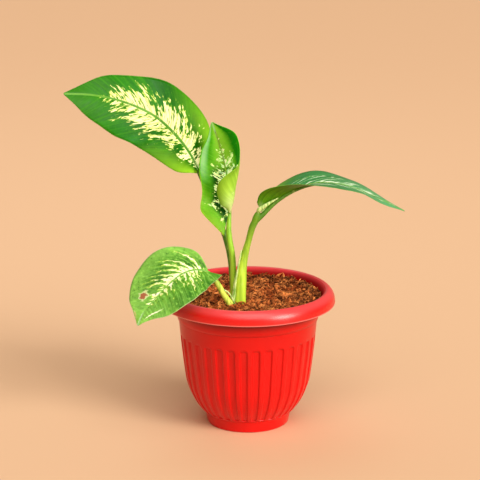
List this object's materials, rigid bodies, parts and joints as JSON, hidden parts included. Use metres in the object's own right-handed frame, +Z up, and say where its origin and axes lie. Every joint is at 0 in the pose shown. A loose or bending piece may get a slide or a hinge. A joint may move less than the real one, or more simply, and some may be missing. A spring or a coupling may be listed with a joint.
{
  "type": "potted plant",
  "caption": "Broad-leaved house plant on slender stalks, growing from coarse soil in a tapered plastic pot with a rolled rim and fluted wall.",
  "frame": {"origin": "on the pot's axis, at the surface that the pot stands on", "axes": "+Z up along the pot's axis, +X to the plant's right as it is seen from the front, -Y to the front"},
  "size_m": [0.3795, 0.2068, 0.4069],
  "materials": {
    "pot": "glossy",
    "soil": "rough",
    "cane": "matte",
    "leaf_a": "satin",
    "leaf_b": "satin",
    "leaf_c": "satin",
    "leaf_d": "satin"
  },
  "bodies": {
    "root": {"pot": "pot", "soil": "soil", "cane": "cane", "leaf_a": "leaf_a", "leaf_b": "leaf_b", "leaf_c": "leaf_c", "leaf_d": "leaf_d"}
  },
  "joints": []
}
